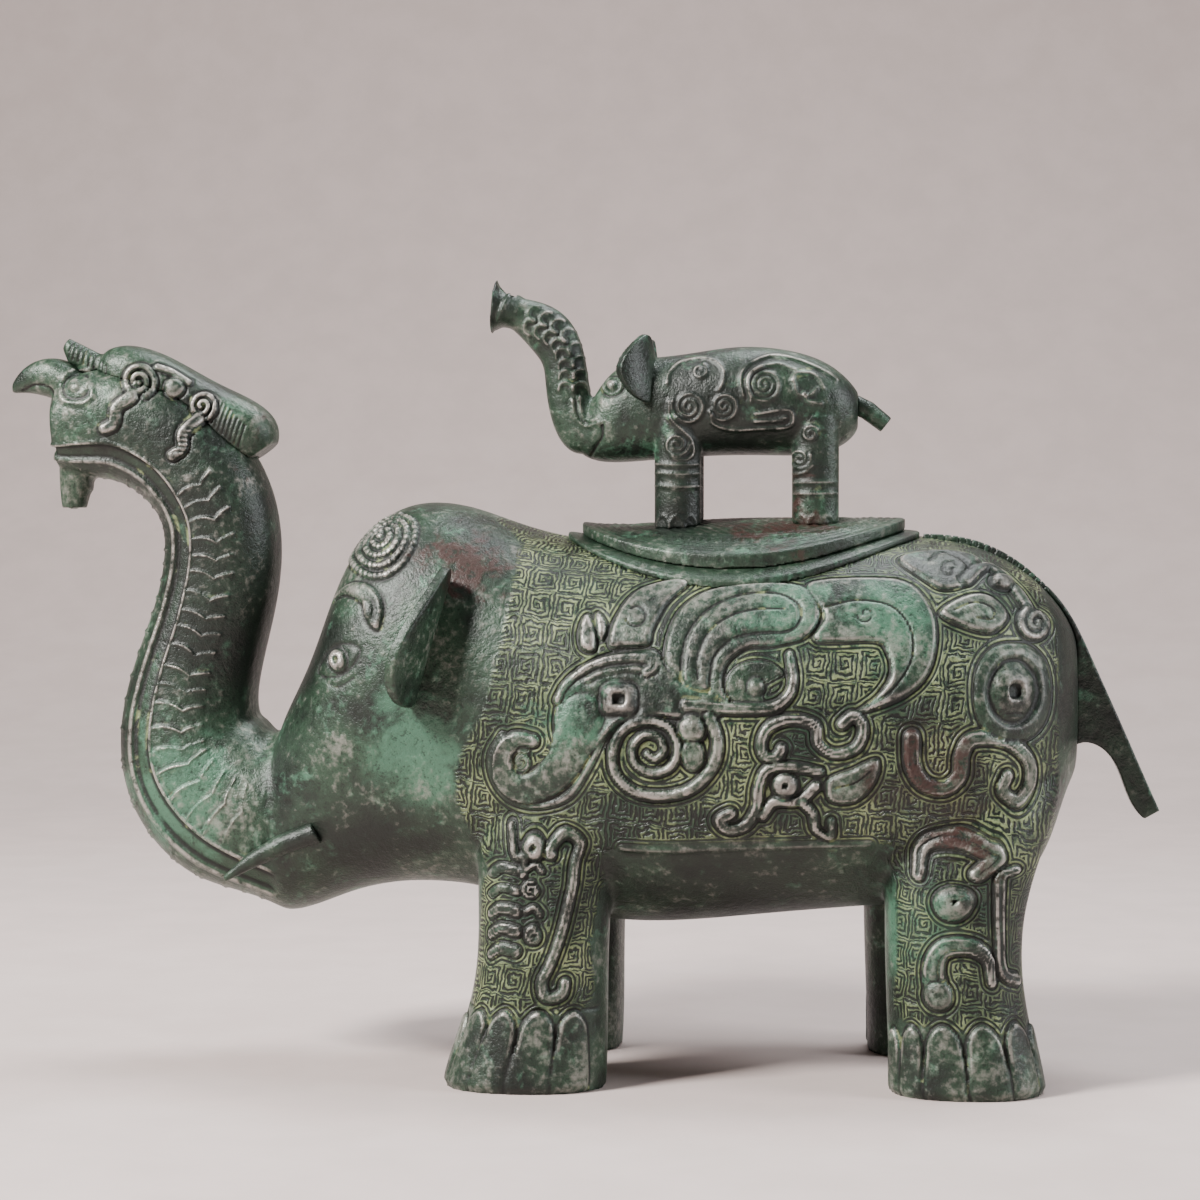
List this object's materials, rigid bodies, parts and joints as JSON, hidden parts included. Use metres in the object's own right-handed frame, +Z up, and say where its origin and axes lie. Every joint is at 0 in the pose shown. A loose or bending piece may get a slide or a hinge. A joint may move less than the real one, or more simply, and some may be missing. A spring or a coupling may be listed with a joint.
{
  "type": "ritual wine vessel",
  "caption": "Bronze zun wine vessel cast as a standing elephant, with a hollow raised trunk as spout and a saddle-shaped lid topped by a small elephant.",
  "frame": {"origin": "centre of the bounding box on the plane of the soles", "axes": "+Z up; +X from the raised trunk towards the tail; +Y towards the elephant's right flank"},
  "size_m": [0.3594, 0.1188, 0.2458],
  "materials": {
    "bronze": "matte",
    "lid_bronze": "matte",
    "clay_core": "matte"
  },
  "bodies": {
    "vessel": {"torso": "bronze", "head": "bronze", "mouth_seat": "bronze", "trunk": "bronze", "trunk_beast": "bronze", "ear_left": "bronze", "ear_right": "bronze", "tusk_left": "bronze", "tusk_right": "bronze", "leg_front_left": "bronze", "leg_front_right": "bronze", "leg_hind_left": "bronze", "leg_hind_right": "bronze", "spine_flange": "bronze", "tail": "bronze", "core_front_left": "clay_core", "core_front_right": "clay_core", "core_hind_left": "clay_core", "core_hind_right": "clay_core"},
    "lid": {"lid_plate": "lid_bronze", "lid_flange": "lid_bronze", "calf_body": "lid_bronze", "calf_tail": "lid_bronze", "calf_ear_left": "lid_bronze", "calf_ear_right": "lid_bronze"}
  },
  "joints": [
    {"name": "lid_lift", "type": "slide", "parent": "vessel", "child": "lid", "axis": [0, 0, 1], "range_m": [0, 0.08]}
  ]
}
